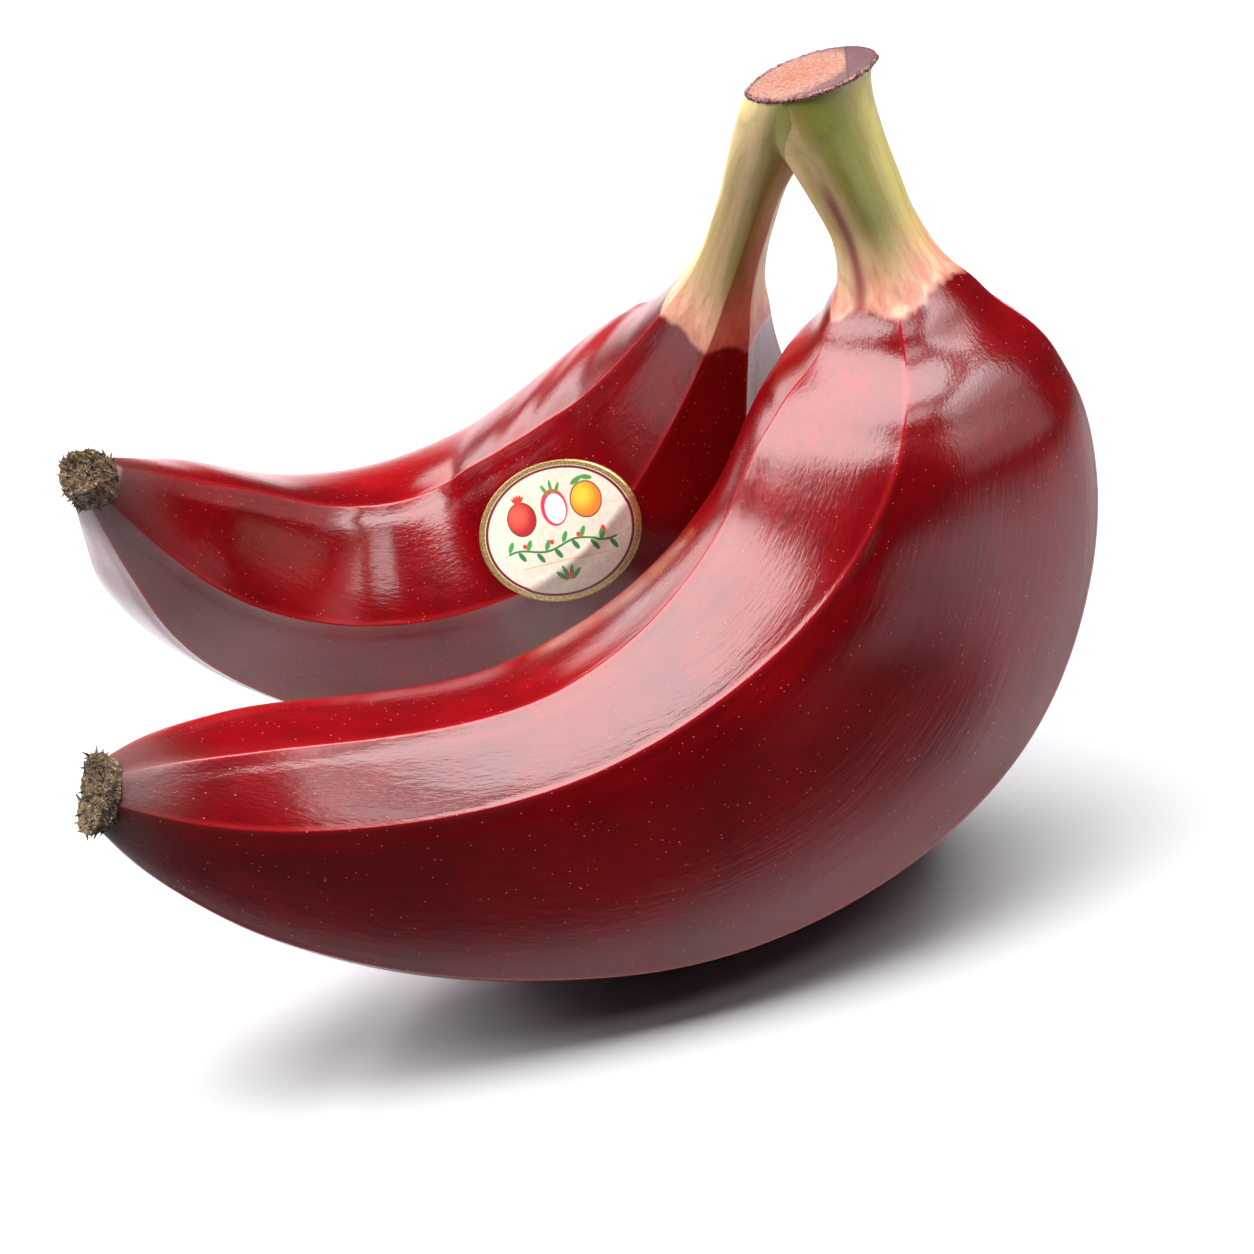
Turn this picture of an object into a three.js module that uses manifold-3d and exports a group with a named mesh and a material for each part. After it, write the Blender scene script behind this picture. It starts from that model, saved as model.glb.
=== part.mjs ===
// A pair of red bananas still joined at the crown, lying on their bellies.
// Millimetres, +Z up, +X towards the cut crown, -Y towards the front finger.
// The origin is the middle of the bounding box, on the surface that the bunch rests on.
import * as THREE from 'three';
import { mergeVertices } from 'three/addons/utils/BufferGeometryUtils.js';
import Module from 'manifold-3d';

const wasm = await Module();
wasm.setup();

// ---- Driving sizes -------------------------------------------------------

const GAP = 0.3; // between pieces that touch
const CROOK_GAP = 0.8; // between the two fingers where they come closest
const SETTLE = 8; // degrees that the bunch rocks back, tips up, until it balances
const STEPS_ALONG = 40;
const STEPS_PER_FACET = 6;

// The centre line of a finger starts at the crown, heading `leaves` degrees from straight down,
// and ends at the tip, heading `arrives` degrees. It turns between the two `bend` shares.
// `girth` is the thickness at shares of the length. The `belly` is where the outer curve swells
// most, over what reach and by how much. Each ridge gives the angle round the finger, from the
// outer curve towards the front, at the neck, the waist and the nose.
const FRONT = {
  length: 178,
  thickness: 53,
  leaves: -27.3,
  arrives: 109.6,
  bend: [-0.032, 0.901],
  yaw: -19.7,
  lean: 5,
  root: 10.5,
  stub: 2,
  girth: [
    [0, 0.22], [0.1, 0.212], [0.165, 0.407], [0.215, 0.717], [0.275, 0.884], [0.34, 0.945],
    [0.44, 0.998], [0.555, 0.98], [0.7, 0.837], [0.85, 0.648], [0.93, 0.465], [1, 0.18],
  ],
  belly: [0.41, 0.13, 0.165],
  ridges: [[5, 52, 38], [104, 132, 98], [168, 163, 144], [250, 250, 232], [338, 346, 315]],
};

const REAR = {
  length: 191.5,
  thickness: 47.5,
  leaves: 1.7,
  arrives: 148,
  bend: [0.326, 0.937],
  yaw: -13.3,
  root: 13,
  stub: 4.5,
  girth: [
    [0, 0.19], [0.1, 0.175], [0.165, 0.187], [0.225, 0.286], [0.285, 0.438], [0.34, 0.622],
    [0.4, 0.888], [0.53, 1.016], [0.65, 0.866], [0.79, 0.691], [0.865, 0.602], [0.935, 0.366],
    [1, 0.155],
  ],
  belly: [0.45, 0.13, 0.13],
  ridges: [[8, 20, 0], [58, 80, 68], [96, 140, 109], [174, 187, 190], [262, 265, 275]],
};

const PAD_LENGTH = 15.5; // the oval cut face of the crown
const PAD_WIDTH = 12;
const PAD_RISE = 4.5; // from where the two stems meet up to the cut face
const PAD_SLOPE = 19; // degrees that the cut face climbs away from the tips
const PAD_AHEAD = 2; // from between the two stems to the middle of the cut face
const STEM_SPACING = 4.5; // between the two centre lines where they meet
const LABEL_LENGTH = 23;
const LABEL_WIDTH = 19;
const LABEL_THICKNESS = 0.3;
const LABEL_SHARE = 0.42; // place on the rear finger, as a share of its length
const LABEL_AROUND = 146; // and round it, in degrees from the outer curve
const LABEL_TURN = 32; // degrees from the finger's length

const FACET_FLATNESS = 0.7; // 0 is round, 1 is flat between the ridges
const FACET_DEPTH = 0.13; // the most that a wide facet sinks, as a share of the radius
const NOSE_SHARE = 0.95; // where the last of the three ridge angles holds
const NECK_SHARE = 0.15;

// ---- Shared shapes -------------------------------------------------------

const radians = THREE.MathUtils.degToRad;
const easeBetween = THREE.MathUtils.smoothstep;

// A smooth value through [place, value] points.
function through(points, place) {
  let i = 1;
  while (i < points.length - 1 && points[i][0] < place) i += 1;
  const slope = (k) => {
    const before = points[Math.max(k - 1, 0)];
    const after = points[Math.min(k + 1, points.length - 1)];
    return (after[1] - before[1]) / (after[0] - before[0]);
  };
  const [x0, y0] = points[i - 1];
  const [x1, y1] = points[i];
  const span = x1 - x0;
  const t = THREE.MathUtils.clamp((place - x0) / span, 0, 1);
  const t2 = t * t;
  const t3 = t2 * t;
  return (2 * t3 - 3 * t2 + 1) * y0 + (t3 - 2 * t2 + t) * span * slope(i - 1)
    + (3 * t2 - 2 * t3) * y1 + (t3 - t2) * span * slope(i);
}

// The centre line as points with a heading each, from the crown to the tip.
function centreLine(finger) {
  const fine = 400;
  const step = finger.length / fine;
  const heading = (share) => radians(
    finger.leaves + (finger.arrives - finger.leaves) * easeBetween(share, ...finger.bend),
  );
  const points = [new THREE.Vector3(0, 0, 0)];
  for (let i = 0; i < fine; i += 1) {
    const angle = heading((i + 0.5) / fine);
    const last = points[i];
    points.push(new THREE.Vector3(last.x + Math.sin(angle) * step, 0, last.z - Math.cos(angle) * step));
  }
  return {
    heading,
    at(share) {
      const place = THREE.MathUtils.clamp(share, 0, 1) * fine;
      const i = Math.min(Math.floor(place), fine - 1);
      const point = points[i].clone().lerp(points[i + 1], place - i);
      const beyond = (share - THREE.MathUtils.clamp(share, 0, 1)) * finger.length;
      const angle = heading(share);
      return point.add(new THREE.Vector3(Math.sin(angle), 0, -Math.cos(angle)).multiplyScalar(beyond));
    },
  };
}

function ridgeAngle(ridge, share) {
  const [neck, waist, nose] = ridge;
  return through([[NECK_SHARE, neck], [(NECK_SHARE + NOSE_SHARE) / 2, waist], [NOSE_SHARE, nose]],
    THREE.MathUtils.clamp(share, NECK_SHARE, NOSE_SHARE));
}

// Directions at one share of a finger: outwards from the curve, and along it.
function section(finger, share) {
  const angle = finger.line.heading(share);
  return {
    middle: finger.line.at(share),
    outer: new THREE.Vector3(-Math.cos(angle), 0, -Math.sin(angle)),
    front: new THREE.Vector3(0, 1, 0),
    radius: finger.thickness / 2 * through(finger.girth, share),
  };
}

function onSection({ middle, outer, front, radius }, around, scale = 1, proud = 0) {
  const reach = radius * scale + proud;
  return middle.clone()
    .addScaledVector(outer, reach * Math.cos(around))
    .addScaledVector(front, reach * Math.sin(around));
}

// How far the skin stands out at an angle, as a share of the radius.
function facet(finger, share, around) {
  const turns = finger.ridges.map((ridge) => ridgeAngle(ridge, share));
  const angle = THREE.MathUtils.euclideanModulo(around - turns[0], 360) + turns[0];
  let i = 0;
  while (i < turns.length - 1 && turns[i + 1] <= angle) i += 1;
  const from = turns[i];
  const to = i < turns.length - 1 ? turns[i + 1] : turns[0] + 360;
  const depth = Math.min(FACET_FLATNESS * (1 - Math.cos(radians(to - from) / 2)), FACET_DEPTH);
  const [middle, reach, amount] = finger.belly;
  const swell = amount * Math.exp(-(((share - middle) / reach) ** 2))
    * Math.max(Math.cos(radians(around)), 0) ** 2;
  return 1 + swell - depth * Math.abs(Math.sin(Math.PI * (angle - from) / (to - from))) ** 1.4;
}

// The ring of skin points at one share, with a point on every ridge.
function skinRing(finger, share) {
  const place = section(finger, share);
  const turns = finger.ridges.map((ridge) => ridgeAngle(ridge, share));
  const ring = [];
  turns.forEach((from, i) => {
    const to = i < turns.length - 1 ? turns[i + 1] : turns[0] + 360;
    for (let k = 0; k < STEPS_PER_FACET; k += 1) {
      const around = from + (to - from) * k / STEPS_PER_FACET;
      ring.push(onSection(place, radians(around), facet(finger, share, around)));
    }
  });
  return ring;
}

// A closed skin over rings that follow each other, with both ends filled.
function loft(rings) {
  const count = rings[0].length;
  const corners = rings.flat().flatMap((point) => point.toArray());
  const faces = [];
  for (let i = 0; i < rings.length - 1; i += 1) {
    for (let j = 0; j < count; j += 1) {
      const a = i * count + j;
      const b = i * count + (j + 1) % count;
      faces.push(a, b, b + count, a, b + count, a + count);
    }
  }
  [[0, true], [rings.length - 1, false]].forEach(([i, first]) => {
    const hub = corners.length / 3;
    const middle = rings[i].reduce((sum, p) => sum.add(p), new THREE.Vector3()).divideScalar(count);
    corners.push(...middle.toArray());
    for (let j = 0; j < count; j += 1) {
      const a = i * count + j;
      const b = i * count + (j + 1) % count;
      faces.push(...(first ? [hub, b, a] : [hub, a, b]));
    }
  });
  const geometry = new THREE.BufferGeometry();
  geometry.setAttribute('position', new THREE.Float32BufferAttribute(corners, 3));
  geometry.setIndex(faces);
  return geometry;
}

function solid(geometry) {
  const bare = geometry.clone();
  bare.deleteAttribute('normal');
  bare.deleteAttribute('uv');
  const merged = mergeVertices(bare, 1e-4);
  return new wasm.Manifold(new wasm.Mesh({
    numProp: 3,
    vertProperties: new Float32Array(merged.attributes.position.array),
    triVerts: new Uint32Array(merged.index.array),
  }));
}

function fromSolid(body) {
  const { vertProperties, triVerts } = body.getMesh();
  const geometry = new THREE.BufferGeometry();
  geometry.setAttribute('position', new THREE.Float32BufferAttribute(vertProperties, 3));
  geometry.setIndex(new THREE.Uint32BufferAttribute(triVerts, 1));
  return geometry;
}

function node(name, geometry, colour, roughness) {
  const finish = new THREE.MeshStandardMaterial({ color: colour, roughness, metalness: 0 });
  const mesh = new THREE.Mesh(geometry, finish);
  geometry.computeVertexNormals();
  mesh.name = name;
  return mesh;
}

// ---- Where the fingers stand ---------------------------------------------

// A finger's own frame has +X towards the tip, +Z up along the stem and +Y to the front.
function placement(finger) {
  const turn = new THREE.Euler(radians(finger.lean), 0, radians(180 - finger.yaw), 'ZXY');
  return new THREE.Matrix4().makeRotationFromEuler(turn).setPosition(finger.joint);
}

// The smallest space between the round outlines of two fingers, below their necks.
function clearance(one, other) {
  const balls = [one, other].map((finger) => {
    const matrix = placement(finger);
    const places = [];
    for (let share = 0.2; share <= 1; share += 0.02) {
      const { middle, radius } = section(finger, share);
      places.push({ middle: middle.applyMatrix4(matrix), radius });
    }
    return places;
  });
  let least = Infinity;
  balls[0].forEach((a) => balls[1].forEach((b) => {
    least = Math.min(least, a.middle.distanceTo(b.middle) - a.radius - b.radius);
  }));
  return least;
}

FRONT.line = centreLine(FRONT);
REAR.line = centreLine(REAR);
FRONT.joint = new THREE.Vector3(STEM_SPACING / 2, 0, 0);
REAR.joint = new THREE.Vector3(-STEM_SPACING / 2, 0, 0);

// The rear finger swings back from the front one until the two just clear.
REAR.lean = FRONT.lean;
while (clearance(FRONT, REAR) < CROOK_GAP) REAR.lean -= 0.25;

// ---- Fingers -------------------------------------------------------------

function fingerSolid(finger) {
  const first = finger.root / finger.length;
  const rings = [];
  for (let i = 0; i <= STEPS_ALONG; i += 1) {
    rings.push(skinRing(finger, first + (1 - first) * i / STEPS_ALONG));
  }
  return loft(rings);
}

// ---- Dried flower ends ---------------------------------------------------

// A corky stub, ragged round its rim, on the nose of a finger.
function blossomEnd(finger, flare) {
  const from = 1 + GAP / finger.length;
  const rings = [];
  const steps = 4;
  for (let i = 0; i <= steps; i += 1) {
    const share = from + finger.stub / finger.length * i / steps;
    const width = 1 + flare * Math.sin(Math.PI * i / steps);
    const place = section(finger, 1);
    place.middle = finger.line.at(share);
    const ring = [];
    for (let k = 0; k < 20; k += 1) {
      const around = 2 * Math.PI * k / 20;
      const ragged = 1 + 0.07 * Math.sin(5 * around + i) + 0.04 * Math.sin(3 * around + 2 * i);
      ring.push(onSection(place, around, width * ragged));
    }
    rings.push(ring);
  }
  return loft(rings);
}

// ---- Crown ---------------------------------------------------------------

// The top of a stem, from inside the crown down to where its finger begins.
function stemRoot(finger) {
  const rings = [];
  const steps = 8;
  for (let i = 0; i <= steps; i += 1) {
    const share = (finger.root - GAP) / finger.length * i / steps;
    rings.push(skinRing(finger, share));
  }
  return loft(rings).applyMatrix4(placement(finger));
}

// The flared pad that was cut from the stalk, an oval with a slightly domed face.
function crownPad() {
  const levels = [
    [-0.9, 0.6], [0, 0.76], [0.45, 0.86], [0.8, 0.97], [0.93, 1], [1, 0.96], [1.06, 0.7], [1.08, 0.3],
  ];
  const slope = Math.tan(radians(PAD_SLOPE));
  const rings = levels.map(([height, scale]) => {
    const ring = [];
    for (let k = 0; k < 32; k += 1) {
      const around = 2 * Math.PI * k / 32;
      const x = PAD_LENGTH / 2 * scale * Math.cos(around);
      const y = PAD_WIDTH / 2 * scale * Math.sin(around);
      const climb = x * slope * THREE.MathUtils.clamp(height, 0, 1);
      ring.push(new THREE.Vector3(x + PAD_AHEAD * height, y, PAD_RISE * height + climb));
    }
    return ring;
  });
  return loft(rings);
}

function crownSolid() {
  return fromSolid(solid(crownPad()).add(solid(stemRoot(FRONT))).add(solid(stemRoot(REAR))));
}

// ---- Label ---------------------------------------------------------------

// A thin oval sticker that follows the skin of the rear finger.
function labelSolid() {
  const finger = REAR;
  const turn = radians(LABEL_TURN);
  const { radius } = section(finger, LABEL_SHARE);
  const [above, below] = [0.01, -0.01].map((share) => (
    onSection(section(finger, LABEL_SHARE + share), radians(LABEL_AROUND))
  ));
  const lengthPerShare = above.distanceTo(below) / 0.02;
  const steps = 40;
  const bands = 6;
  const point = (band, k, proud) => {
    const around = 2 * Math.PI * k / steps;
    const u = LABEL_LENGTH / 2 * band / bands * Math.cos(around);
    const v = LABEL_WIDTH / 2 * band / bands * Math.sin(around);
    const along = u * Math.cos(turn) - v * Math.sin(turn);
    const across = u * Math.sin(turn) + v * Math.cos(turn);
    const share = LABEL_SHARE + along / lengthPerShare;
    const degrees = LABEL_AROUND + THREE.MathUtils.radToDeg(across / radius);
    return onSection(section(finger, share), radians(degrees), facet(finger, share, degrees), proud);
  };
  const rings = [];
  for (let band = 1; band <= bands; band += 1) {
    rings.push(Array.from({ length: steps }, (_, k) => point(band, k, GAP + LABEL_THICKNESS)));
  }
  for (let band = bands; band >= 1; band -= 1) {
    rings.push(Array.from({ length: steps }, (_, k) => point(band, k, GAP)));
  }
  return loft(rings);
}

// ---- The bunch -----------------------------------------------------------

const bunch = new THREE.Group();

[
  [FRONT, 'front', 0.12],
  [REAR, 'rear', 0.08],
].forEach(([finger, side, flare]) => {
  const group = new THREE.Group();
  placement(finger).decompose(group.position, group.quaternion, group.scale);
  group.add(node(`finger_${side}`, fingerSolid(finger), 0x7d0f1c, 0.3));
  group.add(node(`blossom_end_${side}`, blossomEnd(finger, flare), 0x6b5236, 0.9));
  if (finger === REAR) group.add(node('label', labelSolid(), 0xefe6d2, 0.45));
  bunch.add(group);
});
bunch.add(node('crown', crownSolid(), 0x9c9148, 0.6));

// Rock the bunch to its balance, then set its box over the origin.
const model = new THREE.Group();
model.add(bunch);
bunch.rotation.y = radians(SETTLE);
model.updateMatrixWorld(true);
const box = new THREE.Box3().setFromObject(model, true);
bunch.position.set(-(box.min.x + box.max.x) / 2, -(box.min.y + box.max.y) / 2, -box.min.z);

export default model;
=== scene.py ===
import math

import bmesh
import bpy
from mathutils import Matrix, Vector
from mathutils.kdtree import KDTree


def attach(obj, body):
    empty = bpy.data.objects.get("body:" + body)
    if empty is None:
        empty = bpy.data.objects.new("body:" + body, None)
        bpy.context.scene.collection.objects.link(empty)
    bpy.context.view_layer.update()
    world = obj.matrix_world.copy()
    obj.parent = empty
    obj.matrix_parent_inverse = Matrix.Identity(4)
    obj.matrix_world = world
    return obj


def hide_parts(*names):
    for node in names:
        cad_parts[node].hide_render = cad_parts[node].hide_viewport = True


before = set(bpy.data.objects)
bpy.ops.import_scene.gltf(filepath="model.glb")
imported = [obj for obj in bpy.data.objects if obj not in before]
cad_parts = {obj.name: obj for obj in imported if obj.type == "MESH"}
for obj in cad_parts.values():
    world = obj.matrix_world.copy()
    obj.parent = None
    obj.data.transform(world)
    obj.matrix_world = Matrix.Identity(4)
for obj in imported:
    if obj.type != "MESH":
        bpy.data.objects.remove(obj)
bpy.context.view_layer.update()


# ---- Front finger --------------------------------------------------------
# A plump red banana, grown in one piece from its stem to its nose. The peel is waxy and crimson,
# with five ridges that run lengthwise, and it turns olive and tan over the neck.

class Value:
    """A number or a vector in a node tree. Arithmetic on values adds the nodes that work it out."""

    def __init__(self, tree, socket):
        self.tree, self.socket = tree, socket

    def __add__(self, other): return math_node("ADD", self, other)
    def __radd__(self, other): return math_node("ADD", self, other)
    def __sub__(self, other): return math_node("SUBTRACT", self, other)
    def __rsub__(self, other): return math_node("SUBTRACT", other, self)
    def __mul__(self, other): return math_node("MULTIPLY", self, other)
    def __rmul__(self, other): return math_node("MULTIPLY", self, other)
    def __truediv__(self, other): return math_node("DIVIDE", self, other)
    def __rtruediv__(self, other): return math_node("DIVIDE", other, self)
    def __pow__(self, other): return math_node("POWER", self, other)


def add(tree, kind, *inputs, out=0, **settings):
    """Adds a node, sets it up, feeds its inputs in order and gives back one of its outputs."""
    made = tree.nodes.new(kind)
    for name, setting in settings.items():
        setattr(made, name, setting)
    for socket, value in zip([s for s in made.inputs if s.enabled], inputs):
        if isinstance(value, Value):
            tree.links.new(value.socket, socket)
        elif value is not None:
            socket.default_value = value
    outputs = [s for s in made.outputs if s.enabled]
    return Value(tree, outputs[out] if isinstance(out, int) else made.outputs[out])


def math_node(operation, *inputs):
    tree = next(v.tree for v in inputs if isinstance(v, Value))
    return add(tree, "ShaderNodeMath", *inputs, operation=operation)


def vector(tree, x, y, z):
    return add(tree, "ShaderNodeCombineXYZ", x, y, z)


def part_of(value, axis):
    return add(value.tree, "ShaderNodeSeparateXYZ", value, out=axis)


def times(value, factors):
    return add(value.tree, "ShaderNodeVectorMath", value, factors, operation="MULTIPLY")


def ease(value, low, high, at_low=0.0, at_high=1.0):
    """A smooth step from at_low to at_high while the value goes from low to high."""
    return add(value.tree, "ShaderNodeMapRange", value, low, high, at_low, at_high,
               interpolation_type="SMOOTHSTEP")


def bump_at(value, place, reach):
    """One at the place, falling off to nothing over the reach."""
    return math_node("EXPONENT", ((value - place) / reach) ** 2.0 * -1.0)


def blended(amount, first, second):
    """A colour or number between two."""
    tree = amount.tree
    made = tree.nodes.new("ShaderNodeMix")
    made.data_type = "RGBA"
    for place, value in ((0, amount), (6, first), (7, second)):
        socket = made.inputs[place]
        if isinstance(value, Value):
            tree.links.new(value.socket, socket)
        else:
            socket.default_value = (*value, 1) if len(value) == 3 else value
    return Value(tree, made.outputs[2])


def noise(place, scale, detail, roughness):
    tree = place.tree
    made = tree.nodes.new("ShaderNodeTexNoise")
    tree.links.new(place.socket, made.inputs["Vector"])
    made.inputs["Scale"].default_value = scale
    made.inputs["Detail"].default_value = detail
    made.inputs["Roughness"].default_value = roughness
    return Value(tree, made.outputs[0])


def keep(geometry, name, value, kind="FLOAT"):
    """Stores a value on every point of the geometry."""
    tree = geometry.tree
    made = tree.nodes.new("GeometryNodeStoreNamedAttribute")
    made.data_type = kind
    tree.links.new(geometry.socket, made.inputs["Geometry"])
    made.inputs["Name"].default_value = name
    tree.links.new(value.socket, made.inputs["Value"])
    return Value(tree, made.outputs[0])


def finger_tree(name, girth):
    """A tree that grows one banana. Girth is its thickness at shares of its length."""
    tree = bpy.data.node_groups.new(name, "GeometryNodeTree")
    tree.interface.new_socket("Geometry", in_out="OUTPUT", socket_type="NodeSocketGeometry")
    numbers = ["Length", "Thickness", "Leaves", "Arrives", "Bend starts", "Bend ends",
               "Belly place", "Belly reach", "Belly swell", "Lip", "Groove", "Lumps"]
    for label in numbers:
        tree.interface.new_socket(label, in_out="INPUT", socket_type="NodeSocketFloat")
    for k in range(5):
        tree.interface.new_socket(f"Ridge {k + 1}", in_out="INPUT", socket_type="NodeSocketVector")
    for label in ("Rings", "Steps"):
        tree.interface.new_socket(label, in_out="INPUT", socket_type="NodeSocketInt")
    tree.interface.new_socket("Peel", in_out="INPUT", socket_type="NodeSocketMaterial")
    given = tree.nodes.new("NodeGroupInput")
    size = {s.name: Value(tree, s) for s in given.outputs if s.name}

    # a flat grid, rings by columns, that the rest bends into a finger
    rings, steps = size["Rings"], size["Steps"]
    columns = steps * 5 + 1
    grid = add(tree, "GeometryNodeMeshGrid", 1.0, 1.0, rings, columns)
    index = add(tree, "GeometryNodeInputIndex")
    ring = math_node("FLOOR", (index + 0.5) / columns)
    column = index - ring * columns
    walk = math_node("MINIMUM", math_node("MAXIMUM", ring - 1, 0), rings - 3)
    share = walk / (rings - 3)
    capped = math_node("COMPARE", ring, 0, 0.1) + math_node("COMPARE", ring, rings - 1, 0.1)

    # the centre line: its heading turns by a smooth step, and the steps add up to a path
    def heading(place):
        degrees = size["Leaves"] + (size["Arrives"] - size["Leaves"]) * ease(
            place, size["Bend starts"], size["Bend ends"])
        return degrees * (math.pi / 180)

    here = heading(share)
    onward = heading(share + 0.5 / (rings - 3))
    stride = size["Length"] / (rings - 3) * math_node("GREATER_THAN", ring, 0.5)
    stride = stride * math_node("LESS_THAN", ring, rings - 2.5)
    stride = vector(tree, math_node("SINE", onward) * stride, 0.0,
                    math_node("COSINE", onward) * stride * -1)
    path = tree.nodes.new("GeometryNodeAccumulateField")
    path.data_type = "FLOAT_VECTOR"
    tree.links.new(stride.socket, path.inputs[0])
    tree.links.new(column.socket, path.inputs["Group Index"])
    middle = Value(tree, path.outputs["Trailing"])

    # the ridges wander round the finger between neck, waist and nose
    held = math_node("SMOOTH_MIN", math_node("SMOOTH_MAX", share, 0.15, 0.12), 0.95, 0.12)
    t = (held - 0.55) / 0.4
    turns = []
    for k in range(5):
        neck, waist, nose = (part_of(size[f"Ridge {k + 1}"], axis) for axis in range(3))
        turns.append(waist + (nose - neck) * 0.5 * t + ((nose + neck) * 0.5 - waist) * t * t)
    facet = math_node("MINIMUM", math_node("FLOOR", (column + 0.5) / steps), 4)
    start, end = 0, 0
    for k in range(5):
        chosen = math_node("COMPARE", facet, k, 0.1)
        start = chosen * turns[k] + start
        end = chosen * (turns[k + 1] if k < 4 else turns[0] + 360) + end
    spread = (column - facet * steps) / steps
    across = spread - math_node("SINE", spread * (2 * math.pi)) * (0.62 / (2 * math.pi))
    width = end - start
    degrees = start + width * across
    around = degrees * (math.pi / 180)

    # the section: nearly flat facets, a swollen belly, a lip along each ridge and a groove beside it
    curve = tree.nodes.new("ShaderNodeFloatCurve")
    curve.mapping.use_clip = False
    points = curve.mapping.curves[0].points
    for place, value in girth:
        if place in (0, 1):
            points[0 if place == 0 else -1].location = (place, value)
        else:
            points.new(place, value)
    curve.mapping.update()
    tree.links.new(share.socket, curve.inputs["Value"])
    radius = Value(tree, curve.outputs[0]) * size["Thickness"] * 0.5
    arch = math_node("ABSOLUTE", math_node("SINE", across * math.pi))
    depth = (math_node("COSINE", width * (math.pi / 360)) * -1 + 1) * 0.7
    depth = math_node("MINIMUM", depth, 0.13)
    swell = size["Belly swell"] * bump_at(share, size["Belly place"], size["Belly reach"])
    swell = swell * math_node("MAXIMUM", math_node("COSINE", around), 0) ** 2.0
    reach = radius * (swell + 1 - depth * arch)
    arc = width * (math.pi / 180) * radius
    to_start, to_end = arc * across, arc * (across * -1 + 1)
    edge = math_node("MINIMUM", to_start, to_end)
    body = ease(share, 0.17, 0.3) * ease(share, 0.99, 0.93)
    lip = bump_at(edge, 0.0, 0.00045) * size["Lip"]
    groove = bump_at(to_end, 0.0016, 0.0008) * size["Groove"]
    straight = vector(tree, share * size["Length"], math_node("COSINE", around) * radius,
                      math_node("SINE", around) * radius)
    lumps = (noise(straight, 32.0, 1.0, 0.4) - 0.5) * size["Lumps"]
    reach = (reach + (lip - groove) * body + lumps * ease(radius, 0.003, 0.012)) * (capped * -1 + 1)

    outwards = math_node("COSINE", around) * reach
    place = vector(tree,
                   part_of(middle, 0) - math_node("COSINE", here) * outwards,
                   math_node("SINE", around) * reach,
                   part_of(middle, 2) - math_node("SINE", here) * outwards)
    moved = tree.nodes.new("GeometryNodeSetPosition")
    tree.links.new(grid.socket, moved.inputs["Geometry"])
    tree.links.new(place.socket, moved.inputs["Position"])
    skin = Value(tree, moved.outputs[0])
    skin = keep(skin, "share", share)
    skin = keep(skin, "around", degrees)
    skin = keep(skin, "arch", arch)
    skin = keep(skin, "edge", edge)
    skin = keep(skin, "straight", straight, "FLOAT_VECTOR")
    merged = tree.nodes.new("GeometryNodeMergeByDistance")
    tree.links.new(skin.socket, merged.inputs["Geometry"])
    merged.inputs["Distance"].default_value = 5e-6
    outward = add(tree, "GeometryNodeFlipFaces", Value(tree, merged.outputs[0]))
    smooth = add(tree, "GeometryNodeSetShadeSmooth", outward)
    real = add(tree, "GeometryNodeRealizeInstances", smooth)
    dressed = tree.nodes.new("GeometryNodeSetMaterial")
    tree.links.new(real.socket, dressed.inputs["Geometry"])
    tree.links.new(size["Peel"].socket, dressed.inputs["Material"])
    result = tree.nodes.new("NodeGroupOutput")
    tree.links.new(dressed.outputs[0], result.inputs[0])
    return tree


def grown(name, tree, sizes, base=None):
    """Runs a tree with these sizes and gives back what it makes as a plain mesh object."""
    seedling = bpy.data.objects.new(name + " tree", base or bpy.data.meshes.new(name + " seed"))
    bpy.context.collection.objects.link(seedling)
    modifier = seedling.modifiers.new("Grow", "NODES")
    modifier.node_group = tree
    for item in tree.interface.items_tree:
        if item.item_type == "SOCKET" and item.in_out == "INPUT" and item.name in sizes:
            modifier[item.identifier] = sizes[item.name]
    seen = seedling.evaluated_get(bpy.context.evaluated_depsgraph_get())
    mesh = bpy.data.meshes.new_from_object(seen)
    mesh.name = name
    bpy.data.objects.remove(seedling)
    piece = bpy.data.objects.new(name, mesh)
    bpy.context.collection.objects.link(piece)
    return piece


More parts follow.
